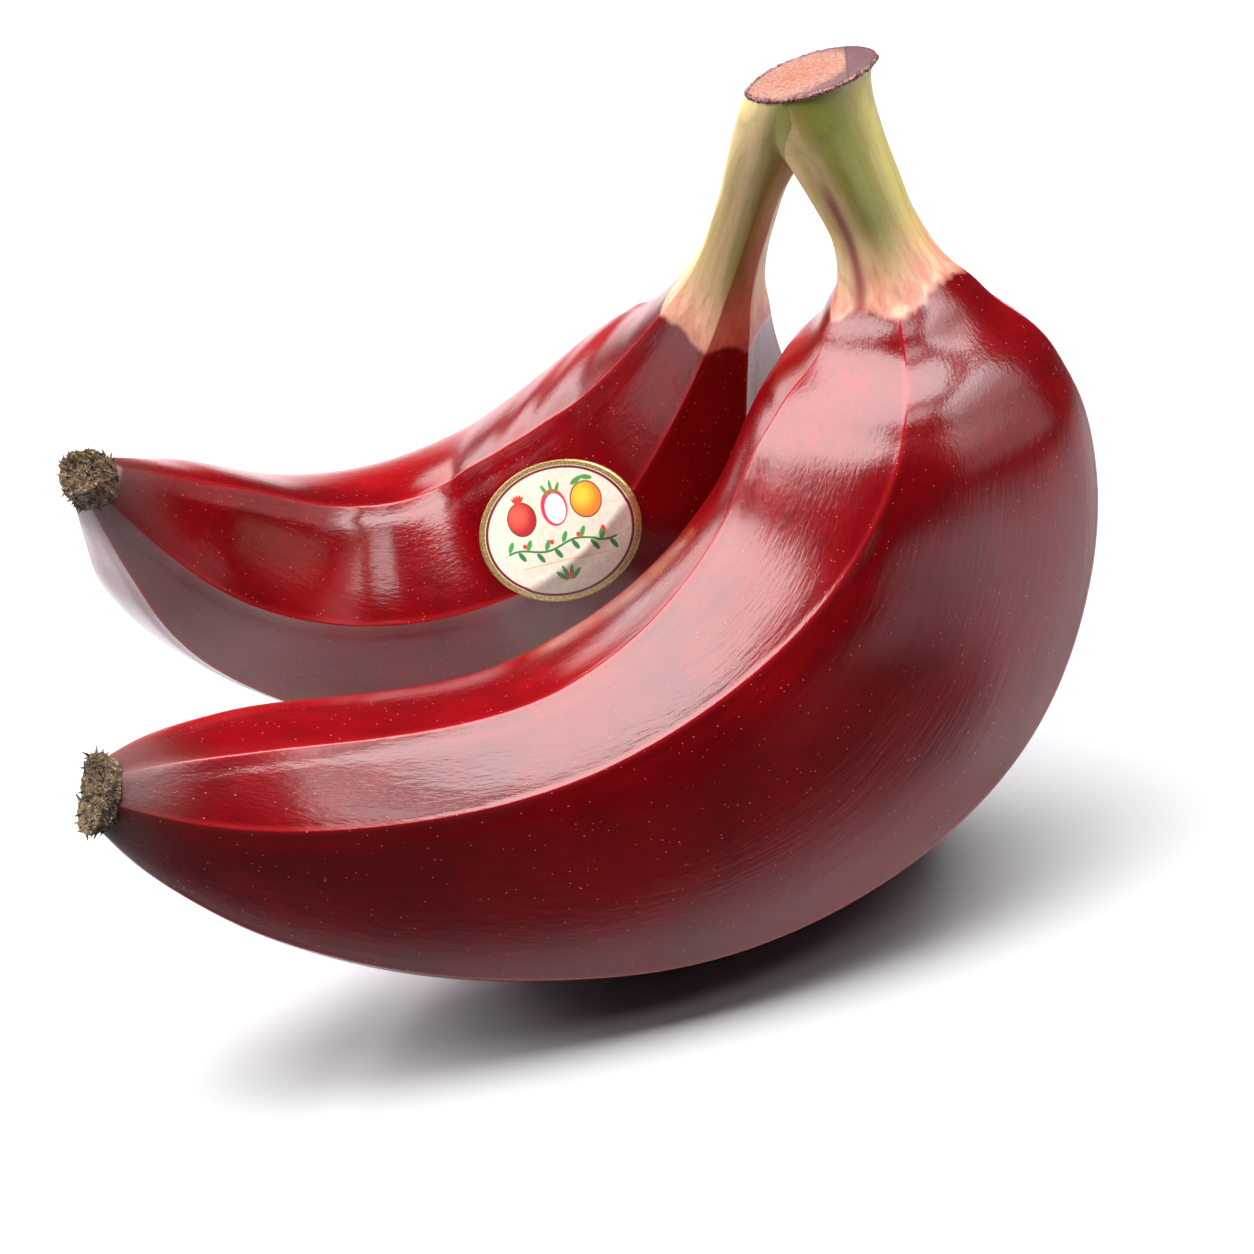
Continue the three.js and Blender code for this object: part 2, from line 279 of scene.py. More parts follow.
def peel_material(name, shoulder, streak, seed, painted_light):
    """Waxy crimson peel. Its colour starts at the shoulder, below the olive and tan neck.

    The streak is darker on the neck, a dark vein on the front finger and painted shade on the shaded
    side of the rear finger's stem: where round the finger, how wide, from which share of the length,
    and how strong. The band of painted light is a brighter red on the lit upper side: the four angles
    it fades in and out by, and how strong.
    """
    streak_around, streak_width, streak_from, streak_strength = streak
    painted_light_starts, painted_light_full, painted_light_fades, painted_light_ends, painted_light_strength = painted_light
    material = bpy.data.materials.new(name)
    material.use_nodes = True
    tree = material.node_tree
    tree.nodes.clear()

    def read(label, output):
        made = tree.nodes.new("ShaderNodeAttribute")
        made.attribute_name = label
        return Value(tree, made.outputs[output])

    share, around = read("share", "Fac"), read("around", "Fac")
    arch, edge = read("arch", "Fac"), read("edge", "Fac")
    straight = add(tree, "ShaderNodeVectorMath", read("straight", "Vector"), (seed, seed, seed),
                   operation="ADD")
    fibre_place = times(straight, (0.09, 1, 1))
    fibres = noise(fibre_place, 900.0, 3.0, 0.6)
    broad = noise(times(straight, (0.35, 1, 1)), 60.0, 3.0, 0.55)
    blotch = noise(straight, 38.0, 4.0, 0.6)
    wander = noise(times(straight, (0.12, 1, 1)), 330.0, 3.0, 0.6)

    # crimson body, darker in places, with long fibres
    red = blended(ease(blotch, 0.3, 0.7), (0.095, 0.0003, 0.0014), (0.16, 0.0005, 0.0022))
    red = blended(ease(broad, 0.5, 0.75) * 0.4, red, (0.27, 0.0015, 0.003))
    red = blended(ease(fibres, 0.42, 0.75) * 0.35, red, (0.06, 0.0, 0.003))
    # painted light: a brighter red over the lit upper side, fading in over the first two angles and out
    # over the last two
    painted_light_mask = ease(around, painted_light_starts, painted_light_full) * ease(around, painted_light_ends, painted_light_fades)
    red = blended(painted_light_mask * painted_light_strength, red, (0.36, 0.002, 0.003))
    # a painted highlight: brighter red along each ridge crest
    red = blended(bump_at(edge, 0.0, 0.0005) * 0.4, red, (0.32, 0.008, 0.012))
    red = blended(ease(share, 0.93, 1.0) * 0.75, red, (0.035, 0.008, 0.006))

    # specks of raised pores
    def specks(scale, size, amount):
        cells = tree.nodes.new("ShaderNodeTexVoronoi")
        cells.inputs["Scale"].default_value = scale
        tree.links.new(times(straight, (0.6, 1, 1)).socket, cells.inputs["Vector"])
        chance = part_of(Value(tree, cells.outputs["Color"]), 0)
        return ease(Value(tree, cells.outputs["Distance"]), size, size * 0.55) * math_node(
            "GREATER_THAN", chance, 1 - amount)

    speck = math_node("MAXIMUM", specks(1500.0, 0.13, 0.34), specks(900.0, 0.09, 0.3))
    red = blended(speck * 0.55, red, (0.7, 0.14, 0.11))

    # neck: tan and pink at its foot, then olive and yellow-green stripes
    stripe = noise(times(straight, (0.05, 1, 1)), 420.0, 2.0, 0.5)
    green = blended(ease(stripe, 0.38, 0.62), (0.40, 0.31, 0.09), (0.60, 0.44, 0.22))
    green = blended(bump_at(around, 95, 28) * 0.75, green, (0.20, 0.235, 0.02))
    green = blended(bump_at(around, 35, 22) * 0.7, green, (0.60, 0.52, 0.11))
    green = blended(bump_at(around, 185, 30) * 0.7, green, (0.66, 0.52, 0.22))
    foot = blended(ease(stripe, 0.35, 0.65), (0.62, 0.26, 0.17), (0.75, 0.42, 0.28))
    drop = share * -1 + shoulder + wander * 0.012 - 0.006
    neck = blended(ease(drop + (stripe - 0.5) * 0.05, 0.004, 0.075), foot, green)
    # the streak: a dark vein on the front finger, and painted shade on the shaded side of the rear
    # finger's stem
    vein_and_painted_shade = bump_at(around, streak_around, streak_width)
    vein_and_painted_shade = vein_and_painted_shade * ease(share, streak_from, streak_from + 0.035)
    neck = blended(vein_and_painted_shade * streak_strength, neck, (0.20, 0.018, 0.03))
    neck = blended(ease(fibres, 0.45, 0.8) * 0.4, neck, (0.16, 0.10, 0.04))

    # the crimson starts in scallops, a little higher on each ridge
    scallop = drop - arch * 0.006
    colour = blended(ease(scallop, -0.004, 0.003), red, neck)
    blush = ease(scallop, 0.03, 0.0) * ease(scallop, -0.004, 0.004)
    colour = blended(blush * ease(wander, 0.42, 0.6) * 0.6, colour, (0.36, 0.05, 0.06))

    height = fibres * 0.35 + noise(fibre_place, 2400.0, 2.0, 0.6) * 0.25 + broad * 0.25 + speck * 0.4
    dry = ease(scallop, -0.004, 0.006)
    bump = tree.nodes.new("ShaderNodeBump")
    bump.inputs["Distance"].default_value = 0.00022
    tree.links.new(ease(dry, 0.0, 1.0, 0.45, 0.9).socket, bump.inputs["Strength"])
    tree.links.new(height.socket, bump.inputs["Height"])

    shader = tree.nodes.new("ShaderNodeBsdfPrincipled")
    tree.links.new(colour.socket, shader.inputs["Base Color"])
    rough = ease(broad, 0.3, 0.7, 0.15, 0.21) + dry * 0.28 + ease(share, 0.94, 1.0) * 0.3
    tree.links.new(rough.socket, shader.inputs["Roughness"])
    tree.links.new(bump.outputs[0], shader.inputs["Normal"])
    shader.inputs["Specular IOR Level"].default_value = 0.5
    output = tree.nodes.new("ShaderNodeOutputMaterial")
    tree.links.new(shader.outputs[0], output.inputs[0])
    return material


# The bunch as it lies: each finger swings from the crown, and then the whole bunch rocks and drops.
rocked = Matrix.Rotation(math.radians(8), 4, "Y")
resting = Matrix.Translation((0.035447, -0.012565, 0.108184)) @ rocked


def hung(lean, turn, joint):
    return resting @ Matrix.Translation(joint) @ Matrix.Rotation(math.radians(turn), 4, "Z") \
        @ Matrix.Rotation(math.radians(lean), 4, "X")


front_length, front_arrives = 0.178, 109.6
# the front peel's band of brighter red is painted light on its lit upper side
front_peel = peel_material("crimson peel, front", 0.152, (143, 9, 0.03, 0.85), 0.0,
                           (185, 225, 300, 340, 0.75))
front_place = hung(5.0, -160.3, (0.00225, 0, 0))
finger_front = grown("front_finger", finger_tree("front finger", [
    (0, 0.1), (0.05, 0.2), (0.1, 0.212), (0.165, 0.407), (0.215, 0.717), (0.275, 0.884),
    (0.34, 0.945), (0.44, 0.998), (0.555, 0.98), (0.7, 0.837), (0.85, 0.648), (0.93, 0.465), (1, 0.18),
]), {
    "Length": front_length, "Thickness": 0.053, "Leaves": -27.3, "Arrives": front_arrives,
    "Bend starts": -0.032, "Bend ends": 0.901,
    "Belly place": 0.41, "Belly reach": 0.13, "Belly swell": 0.165,
    "Lip": 0.00008, "Groove": 0.00006, "Lumps": 0.00025,
    "Ridge 1": (5, 52, 38), "Ridge 2": (104, 132, 98), "Ridge 3": (168, 163, 144),
    "Ridge 4": (250, 250, 232), "Ridge 5": (338, 346, 315),
    "Rings": 330, "Steps": 44, "Peel": front_peel,
})
finger_front.data.transform(front_place)
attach(finger_front, "root")
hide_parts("finger_front")


# ---- Rear finger ---------------------------------------------------------
# The second banana of the bunch, a little longer and slimmer. Its nose curls up, and it swings
# out behind the front one from the same crown.

rear_length, rear_arrives = 0.1915, 148
# the rear peel's streak is painted shade on its stem's shaded side, and its band of brighter red is
# painted light on its lit upper side
rear_peel = peel_material("crimson peel, rear", 0.235, (70, 20, 0.1, 0.15), 0.37,
                          (195, 235, 300, 340, 0.5))
rear_place = hung(-31.75, -166.7, (-0.00225, 0, 0))
finger_rear = grown("rear_finger", finger_tree("rear finger", [
    (0, 0.09), (0.05, 0.17), (0.1, 0.175), (0.165, 0.187), (0.225, 0.286), (0.285, 0.438),
    (0.34, 0.622), (0.4, 0.85), (0.46, 0.965), (0.52, 0.995), (0.6, 0.935), (0.7, 0.81), (0.79, 0.695),
    (0.865, 0.585), (0.935, 0.38), (1, 0.155),
]), {
    "Length": rear_length, "Thickness": 0.0475, "Leaves": 1.7, "Arrives": rear_arrives,
    "Bend starts": 0.326, "Bend ends": 0.937,
    "Belly place": 0.45, "Belly reach": 0.13, "Belly swell": 0.13,
    "Lip": 0.00008, "Groove": 0.00006, "Lumps": 0.00025,
    "Ridge 1": (8, 20, 0), "Ridge 2": (58, 80, 68), "Ridge 3": (96, 140, 109),
    "Ridge 4": (174, 187, 190), "Ridge 5": (262, 265, 275),
    "Rings": 330, "Steps": 44, "Peel": rear_peel,
})
finger_rear.data.transform(rear_place)
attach(finger_rear, "root")
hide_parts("finger_rear")


# ---- Crown ---------------------------------------------------------------
# Where the two stems grew from the stalk: they run together under a small pad, whose top was
# cut through with a knife and has dried pinkish tan, with a dark corky rim.

pad_length, pad_width, pad_rise, pad_ahead = 0.0155, 0.012, 0.0045, 0.002
pad_slope = math.tan(math.radians(19))
cut_height, stem_share = 0.0035, 0.18
# heights in shares of the pad's rise, each with the scale of its outline
pad_levels = [(0.2, 0.76), (0.6, 0.88), (0.86, 0.99), (0.95, 1.0),
              (1.0, 0.96), (1.05, 0.8), (1.09, 0.55), (1.11, 0.25)]


def pad_point(height, scale, turn):
    x = pad_length / 2 * scale * math.cos(turn)
    y = pad_width / 2 * scale * math.sin(turn) * abs(math.sin(turn)) ** 0.25
    climb = x * pad_slope * min(max(height, 0), 1)
    return Vector((x + pad_ahead * height, y, pad_rise * height + climb))


def smooth(value):
    value = min(max(value, 0), 1)
    return value * value * (3 - 2 * value)


def lofted(name, rings):
    """A closed skin over rings of points that follow each other."""
    count = len(rings[0])
    points = [p for ring in rings for p in ring]
    faces = [(i * count + j, i * count + (j + 1) % count,
              (i + 1) * count + (j + 1) % count, (i + 1) * count + j)
             for i in range(len(rings) - 1) for j in range(count)]
    faces += [tuple(reversed(range(count))), tuple(range(len(points) - count, len(points)))]
    mesh = bpy.data.meshes.new(name)
    mesh.from_pydata([tuple(p) for p in points], [], faces)
    return mesh


# the stems' own skin near the crown, which the roots and their stripes follow
stem_points = []
for which, finger in enumerate((finger_front, finger_rear)):
    marks = [finger.data.attributes[k].data for k in ("share", "around", "arch", "edge")]
    straight = finger.data.attributes["straight"].data
    for vertex in finger.data.vertices:
        if marks[0][vertex.index].value < stem_share:
            stem_points.append((vertex.co.copy(), which, [k[vertex.index].value for k in marks],
                                straight[vertex.index].vector[:]))

pad_points = 64
shapes = [lofted("pad", [[pad_point(level, scale, math.tau * i / pad_points) for i in range(pad_points)]
                         for level, scale in pad_levels])]
root_length, root_rings, root_points, first_share = 0.025, 26, 60, 0.06
for which, length in enumerate((front_length, rear_length)):
    skin = [(place[2][0], resting.inverted() @ place[0]) for place in stem_points if place[1] == which]
    shares = sorted({round(share, 5) for share, _ in skin})
    rings = []
    for i in range(root_rings):
        t = i / (root_rings - 1)
        wanted = (t - 0.08) * root_length / length
        share = min(shares, key=lambda k: abs(k - max(wanted, first_share)))
        section = [co for k, co in skin if abs(k - share) < 1e-4]
        middle = sum(section, Vector()) / len(section)
        if i == 0:
            share_below = shares[shares.index(share) + 12]
            below = [co for k, co in skin if abs(k - share_below) < 1e-4]
            down = (sum(below, Vector()) / len(below) - middle).normalized()
            sideways = (Vector((1, 0, 0)) - down * down.x).normalized()
            forwards = sideways.cross(down)
        slide = down * min(wanted - first_share, 0) * length
        spread = 1.13 - 0.145 * smooth((t - 0.25) / 0.75)
        angled = [(math.atan2((co - middle).dot(forwards), (co - middle).dot(sideways)), co)
                  for co in section]
        ring = []
        for k in range(root_points):
            angle = math.tau * k / root_points
            stem = min(angled, key=lambda place: 1 - math.cos(place[0] - angle))[1]
            stem = middle + slide + (stem - middle) * spread
            ring.append(pad_point(0.9 - t, 0.98, angle).lerp(stem, smooth((t - 0.05) * 1.6)))
        rings.append(ring)
    shapes.append(lofted("root", list(reversed(rings))))

flesh = bpy.data.materials.new("cut crown")
flesh.use_nodes = True
flesh_tree = flesh.node_tree
flesh_shader = flesh_tree.nodes["Principled BSDF"]
spot = add(flesh_tree, "ShaderNodeAttribute", out="Vector", attribute_name="bench")
height = part_of(spot, 2) - part_of(spot, 0) * pad_slope
face = ease(height + (noise(spot, 900.0, 2.0, 0.5) - 0.5) * 0.0003, 0.00335, 0.0037)
grain = noise(spot, 2600.0, 3.0, 0.7)
dots = add(flesh_tree, "ShaderNodeTexVoronoi", spot, None, 2400.0, out="Distance")
tan = blended(ease(grain, 0.35, 0.65), (0.16, 0.06, 0.047), (0.28, 0.14, 0.10))
tan = blended(ease(dots, 0.28, 0.1) * 0.6, tan, (0.38, 0.23, 0.18))
core = bump_at(part_of(spot, 0), 0.0002, 0.0036) * bump_at(part_of(spot, 1), -0.0005, 0.0024)
streaks = noise(times(spot, (0.5, 1.6, 1)), 1500.0, 3.0, 0.65)
tan = blended(core * ease(streaks, 0.38, 0.6) * 0.9, tan, (0.22, 0.055, 0.01))
out_to = ((part_of(spot, 0) / (pad_length / 2)) ** 2.0
          + (part_of(spot, 1) / (pad_width / 2)) ** 2.0) ** 0.5
tan = blended(ease(out_to + (streaks - 0.5) * 0.5, 0.72, 1.02) * 0.85, tan, (0.06, 0.018, 0.024))
tan = blended(bump_at(part_of(spot, 0), 0.0060, 0.00016) * 0.9, tan, (0.03, 0.01, 0.015))
tan = blended(ease(part_of(spot, 0), 0.0059, 0.0062) * ease(grain, 0.2, 0.8, 0.6, 1.0), tan,
              (0.07, 0.022, 0.032))
stalk = blended(ease(noise(times(spot, (1, 1, 0.12)), 700.0, 2.0, 0.5), 0.3, 0.7),
                (0.42, 0.33, 0.10), (0.58, 0.46, 0.20))
flesh_tree.links.new(blended(face, stalk, tan).socket, flesh_shader.inputs["Base Color"])
flesh_bump = flesh_tree.nodes.new("ShaderNodeBump")
flesh_bump.inputs["Distance"].default_value = 0.0002
flesh_bump.inputs["Strength"].default_value = 0.7
flesh_tree.links.new((grain + dots * 0.5).socket, flesh_bump.inputs["Height"])
flesh_tree.links.new(flesh_bump.outputs[0], flesh_shader.inputs["Normal"])
flesh_shader.inputs["Roughness"].default_value = 0.62

crown_mesh = bpy.data.meshes.new("crown")
crown = bpy.data.objects.new("crown_pad", crown_mesh)
bpy.context.collection.objects.link(crown)
joined = bmesh.new()
for shape in shapes:
    joined.from_mesh(shape)
joined.to_mesh(crown_mesh)
joined.free()
remesh = crown.modifiers.new("Fuse", "REMESH")
remesh.mode = "VOXEL"
remesh.voxel_size = 0.00022
melt = crown.modifiers.new("Melt", "SMOOTH")
melt.iterations = 6
fused = bpy.data.meshes.new_from_object(crown.evaluated_get(bpy.context.evaluated_depsgraph_get()))
crown.modifiers.clear()
crown.data = fused
fused.polygons.foreach_set("use_smooth", [True] * len(fused.polygons))
on_bench = [v.co.copy() for v in fused.vertices]
fused.attributes.new("bench", "FLOAT_VECTOR", "POINT").data.foreach_set(
    "vector", [c for co in on_bench for c in co])
fused.materials.clear()
for finish in (flesh, front_peel, rear_peel):
    fused.materials.append(finish)
fused.transform(resting)

# below the cut face the crown wears the peel of the nearest stem, and takes its stripes from it
nearby = KDTree(len(stem_points))
for i, point in enumerate(stem_points):
    nearby.insert(point[0], i)
nearby.balance()
nearest = [stem_points[nearby.find(v.co)[1]] for v in fused.vertices]
for column, k in enumerate(("share", "around", "arch", "edge")):
    fused.attributes.new(k, "FLOAT", "POINT").data.foreach_set(
        "value", [point[2][column] for point in nearest])
fused.attributes.new("straight", "FLOAT_VECTOR", "POINT").data.foreach_set(
    "vector", [c for point in nearest for c in point[3]])
for face_of in fused.polygons:
    here = sum((on_bench[i] for i in face_of.vertices), Vector()) / len(face_of.vertices)
    is_cut = here.z - here.x * pad_slope > cut_height
    face_of.material_index = 0 if is_cut else 1 + nearest[face_of.vertices[0]][1]
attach(crown, "root")
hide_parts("crown")

# The dried rim of the cut: a row of small dark beads of sap and torn fibre.
rim_dark = bpy.data.materials.new("dried rim")
rim_dark.use_nodes = True
rim_tree = rim_dark.node_tree
spot = add(rim_tree, "ShaderNodeTexCoord", out="Object")
rim_colour = blended(ease(noise(spot, 1800.0, 2.0, 0.6), 0.4, 0.65),
                     (0.05, 0.012, 0.02), (0.24, 0.08, 0.08))
rim_shader = rim_tree.nodes["Principled BSDF"]
rim_tree.links.new(rim_colour.socket, rim_shader.inputs["Base Color"])
rim_shader.inputs["Roughness"].default_value = 0.45

beads = bpy.data.node_groups.new("row of beads", "GeometryNodeTree")
beads.interface.new_socket("Geometry", in_out="OUTPUT", socket_type="NodeSocketGeometry")
beads.interface.new_socket("Line", in_out="INPUT", socket_type="NodeSocketGeometry")
beads.interface.new_socket("Bead", in_out="INPUT", socket_type="NodeSocketFloat")
beads.interface.new_socket("Count", in_out="INPUT", socket_type="NodeSocketInt")
beads.interface.new_socket("Finish", in_out="INPUT", socket_type="NodeSocketMaterial")
given = beads.nodes.new("NodeGroupInput")
line, bead, count, finish = (Value(beads, given.outputs[k]) for k in range(4))
line = add(beads, "GeometryNodeMeshToCurve", line)
line = add(beads, "GeometryNodeResampleCurve", line, None, count)
ball = add(beads, "GeometryNodeMeshIcoSphere", bead, 1)
size = add(beads, "FunctionNodeRandomValue", 0.6, 1.25, None, 7, out="Value")
turned = add(beads, "FunctionNodeRandomValue", (0, 0, 0), (6, 6, 6), None, 3, out="Value",
             data_type="FLOAT_VECTOR")
row = beads.nodes.new("GeometryNodeInstanceOnPoints")
beads.links.new(line.socket, row.inputs["Points"])
beads.links.new(ball.socket, row.inputs["Instance"])
beads.links.new(turned.socket, row.inputs["Rotation"])
beads.links.new(size.socket, row.inputs["Scale"])
real = add(beads, "GeometryNodeRealizeInstances", Value(beads, row.outputs[0]))
dressed = beads.nodes.new("GeometryNodeSetMaterial")
beads.links.new(real.socket, dressed.inputs["Geometry"])
beads.links.new(finish.socket, dressed.inputs["Material"])
beads.links.new(dressed.outputs[0], beads.nodes.new("NodeGroupOutput").inputs[0])

rim_line = bpy.data.meshes.new("rim line")
bead_count = 120
rim_points = [pad_point(0.9, 1.0, math.tau * i / bead_count) for i in range(bead_count)]
rim_line.from_pydata([tuple(p) for p in rim_points],
                     [(i, (i + 1) % bead_count) for i in range(bead_count)], [])
rim = grown("crown_rim", beads, {"Bead": 0.00036, "Count": bead_count, "Finish": rim_dark}, rim_line)
rim.data.transform(resting)
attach(rim, "root")


# ---- Dried flower ends ---------------------------------------------------
# What is left of the flower on each nose: a stub of dark cork, ragged round its rim and cracked
# lengthwise, with dry flakes standing off it. The rear one is a block, the front one a thin disc.

cork = bpy.data.materials.new("dry cork")
cork.use_nodes = True
cork_tree = cork.node_tree
cork_shader = cork_tree.nodes["Principled BSDF"]
spot = add(cork_tree, "ShaderNodeAttribute", out="Vector", attribute_name="stub")
crack = noise(times(spot, (1, 1, 0.35)), 1300.0, 4.0, 0.65)
crumb = noise(spot, 3600.0, 3.0, 0.7)
brown = blended(ease(crack, 0.36, 0.6), (0.012, 0.006, 0.004), (0.11, 0.06, 0.025))
brown = blended(ease(crumb, 0.52, 0.68) * ease(crack, 0.4, 0.6), brown, (0.50, 0.34, 0.14))
cork_tree.links.new(brown.socket, cork_shader.inputs["Base Color"])
cork_shader.inputs["Roughness"].default_value = 0.72
cork_bump = cork_tree.nodes.new("ShaderNodeBump")
cork_bump.inputs["Distance"].default_value = 0.0006
cork_tree.links.new((crack + crumb * 0.4).socket, cork_bump.inputs["Height"])
cork_tree.links.new(cork_bump.outputs[0], cork_shader.inputs["Normal"])

stubs = bpy.data.node_groups.new("flower end", "GeometryNodeTree")
stubs.interface.new_socket("Geometry", in_out="OUTPUT", socket_type="NodeSocketGeometry")
for label in ("Length", "Radius", "Flare", "Ragged", "Hollow", "Square"):
    stubs.interface.new_socket(label, in_out="INPUT", socket_type="NodeSocketFloat")
for label in ("Flakes", "Seed"):
    stubs.interface.new_socket(label, in_out="INPUT", socket_type="NodeSocketInt")
stubs.interface.new_socket("Cork", in_out="INPUT", socket_type="NodeSocketMaterial")
given = stubs.nodes.new("NodeGroupInput")
size = {k.name: Value(stubs, k) for k in given.outputs if k.name}
levels, side_levels, columns = 61, 36, 97
grid = add(stubs, "GeometryNodeMeshGrid", 1.0, 1.0, levels, columns)
index = add(stubs, "GeometryNodeInputIndex")
level = math_node("FLOOR", (index + 0.5) / columns)
turn = (index - level * columns) * (2 * math.pi / (columns - 1))
climb = math_node("MINIMUM", level / side_levels, 1)
inwards = math_node("MAXIMUM", (level - side_levels) / (levels - 1 - side_levels), 0)
ring_place = vector(stubs, math_node("COSINE", turn), math_node("SINE", turn), climb * 0.8)
ring_place = add(stubs, "ShaderNodeVectorMath", ring_place, vector(stubs, size["Seed"], 0.0, 0.0),
                 operation="ADD")
rag = noise(ring_place, 1.6, 4.0, 0.7) - 0.5
torn = noise(times(ring_place, (1, 1, 0.3)), 5.0, 3.0, 0.7) - 0.5
corner = math_node("ABSOLUTE", math_node("SINE", turn * 2 + 0.7))
girth = (climb * size["Flare"] + 1 + rag * size["Ragged"] + torn * size["Ragged"] * 0.6
         - corner * size["Square"]) * size["Radius"]
rim_girth = girth * (inwards * -1 + 1) ** 0.8 * math_node("GREATER_THAN", level, 0.5)
dish = ease(inwards, 0.0, 0.5) * size["Hollow"]
rise = size["Length"] * climb * ((rag * 0.5 + torn * 0.45) * (inwards * -1 + 1) + 1) - dish
across, along = math_node("COSINE", turn) * rim_girth, math_node("SINE", turn) * rim_girth
crumble = noise(vector(stubs, across, along, 0.0), 900.0, 3.0, 0.7) - 0.5
rise = rise + crumble * 0.0012 * ease(inwards, 0.0, 0.3)
place = vector(stubs, across, along, rise)
shaped = stubs.nodes.new("GeometryNodeSetPosition")
stubs.links.new(grid.socket, shaped.inputs["Geometry"])
stubs.links.new(place.socket, shaped.inputs["Position"])
closed = stubs.nodes.new("GeometryNodeMergeByDistance")
stubs.links.new(shaped.outputs[0], closed.inputs["Geometry"])
closed.inputs["Distance"].default_value = 1e-5
body = add(stubs, "GeometryNodeFlipFaces", Value(stubs, closed.outputs[0]))
scatter = stubs.nodes.new("GeometryNodeDistributePointsOnFaces")
scatter.distribute_method = "RANDOM"
stubs.links.new(body.socket, scatter.inputs["Mesh"])
stubs.links.new((size["Flakes"] / (size["Radius"] * size["Radius"] * 8)).socket, scatter.inputs["Density"])
stubs.links.new(size["Seed"].socket, scatter.inputs["Seed"])
flake = add(stubs, "GeometryNodeMeshCone", out="Mesh", fill_type="TRIANGLE_FAN")
cone = flake.socket.node
cone.inputs["Vertices"].default_value = 4
cone.inputs["Radius Top"].default_value = 0.00005
cone.inputs["Radius Bottom"].default_value = 0.00022
cone.inputs["Depth"].default_value = 0.0009
lean = stubs.nodes.new("FunctionNodeAlignRotationToVector")
lean.axis = "Z"
stubs.links.new(scatter.outputs["Normal"], lean.inputs["Vector"])
twist = add(stubs, "FunctionNodeRandomValue", (-0.9, -0.9, 0), (0.9, 0.9, 6), None, 5,
            data_type="FLOAT_VECTOR")
mixed = stubs.nodes.new("FunctionNodeRotateRotation")
mixed.rotation_space = "LOCAL"
stubs.links.new(lean.outputs[0], mixed.inputs[0])
stubs.links.new(twist.socket, mixed.inputs[1])
grow_size = add(stubs, "FunctionNodeRandomValue", 0.3, 1.1, None, 9)
stand = stubs.nodes.new("GeometryNodeInstanceOnPoints")
stubs.links.new(scatter.outputs[0], stand.inputs["Points"])
stubs.links.new(flake.socket, stand.inputs["Instance"])
stubs.links.new(mixed.outputs[0], stand.inputs["Rotation"])
stubs.links.new(grow_size.socket, stand.inputs["Scale"])
both = stubs.nodes.new("GeometryNodeJoinGeometry")
stubs.links.new(body.socket, both.inputs[0])
stubs.links.new(stand.outputs[0], both.inputs[0])
real = add(stubs, "GeometryNodeRealizeInstances", Value(stubs, both.outputs[0]))
marked = keep(real, "stub", add(stubs, "GeometryNodeInputPosition"), "FLOAT_VECTOR")
dressed = stubs.nodes.new("GeometryNodeSetMaterial")
stubs.links.new(marked.socket, dressed.inputs["Geometry"])
stubs.links.new(size["Cork"].socket, dressed.inputs["Material"])
stubs.links.new(dressed.outputs[0], stubs.nodes.new("NodeGroupOutput").inputs[0])


def nose_middle(finger):
    """The middle of the ring of points that a finger ends in."""
    shares = [0.0] * len(finger.data.vertices)
    finger.data.attributes["share"].data.foreach_get("value", shares)
    rim = [finger.data.vertices[i].co for i, share in enumerate(shares) if share > 0.9999]
    return sum(rim, Vector()) / len(rim)


stub_sunk = 0.0004
for piece, finger, stand_at, heading, sizes in (
    ("front_flower_end", finger_front, front_place, front_arrives,
     {"Length": 0.0021, "Radius": 0.0048, "Flare": 0.1, "Ragged": 0.35, "Hollow": 0.0009,
      "Square": 0.05, "Flakes": 160, "Seed": 3}),
    ("rear_flower_end", finger_rear, rear_place, rear_arrives,
     {"Length": 0.0046, "Radius": 0.0038, "Flare": -0.08, "Ragged": 0.2, "Hollow": 0.0006,
      "Square": 0.12, "Flakes": 200, "Seed": 8}),
):
    stub = grown(piece, stubs, {**sizes, "Cork": cork})
    angle = math.radians(heading)
    onward = stand_at.to_3x3() @ Vector((math.sin(angle), 0, -math.cos(angle)))
    turn_to = onward.to_track_quat("Z", "Y").to_matrix().to_4x4()
    stub.data.transform(Matrix.Translation(nose_middle(finger) - onward * stub_sunk) @ turn_to)
    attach(stub, "root")
    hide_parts("blossom_end_" + piece.split("_")[0])


# ---- Label ---------------------------------------------------------------
# An oval paper sticker pressed on the rear finger, printed in colour with three fruits and a
# garland, with a gold rim and a thin dark red line inside it.

label_length, label_width = 0.0218, 0.0185
label_share, label_around = 0.425, 146.0
# the print is drawn on its own grid, this far from the middle to the edge along and across
print_reach, print_rise = 13.5, 9.9

sticker = bpy.data.node_groups.new("sticker", "GeometryNodeTree")
sticker.interface.new_socket("Geometry", in_out="OUTPUT", socket_type="NodeSocketGeometry")
sticker.interface.new_socket("Finger", in_out="INPUT", socket_type="NodeSocketObject")
for label in ("Length", "Width", "Proud"):
    sticker.interface.new_socket(label, in_out="INPUT", socket_type="NodeSocketFloat")
for label in ("Middle", "Pressed from", "Long way"):
    sticker.interface.new_socket(label, in_out="INPUT", socket_type="NodeSocketVector")
sticker.interface.new_socket("Paper", in_out="INPUT", socket_type="NodeSocketMaterial")
given = sticker.nodes.new("NodeGroupInput")
size = {k.name: Value(sticker, k) for k in given.outputs if k.name}
bands, spokes = 40, 121


def blend_to(choice, value_if_not, value_if):
    return choice * value_if + (choice * -1 + 1) * value_if_not


